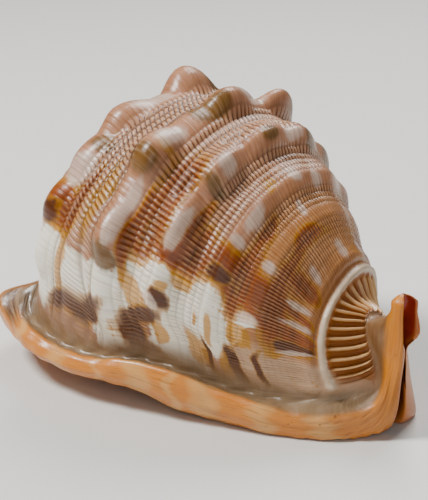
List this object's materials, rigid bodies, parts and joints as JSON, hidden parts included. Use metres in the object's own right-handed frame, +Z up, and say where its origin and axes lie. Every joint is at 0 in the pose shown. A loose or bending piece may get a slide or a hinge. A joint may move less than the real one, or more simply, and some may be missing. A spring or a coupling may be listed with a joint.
{
  "type": "helmet shell",
  "caption": "Large domed sea shell lying on its aperture, with rows of knobs, a thick rolled lip, a ribbed fan and an upturned canal.",
  "frame": {"origin": "middle of the bottom of the box, on the plane that the shell rests on", "axes": "+Z up from the resting plane, +X along the shell from the spire to the canal, -Y towards the outer lip"},
  "size_m": [0.1464, 0.1062, 0.0948],
  "materials": {
    "glossy_shell": null
  },
  "bodies": {
    "root": {"helmet_shell": "glossy_shell"}
  },
  "joints": []
}
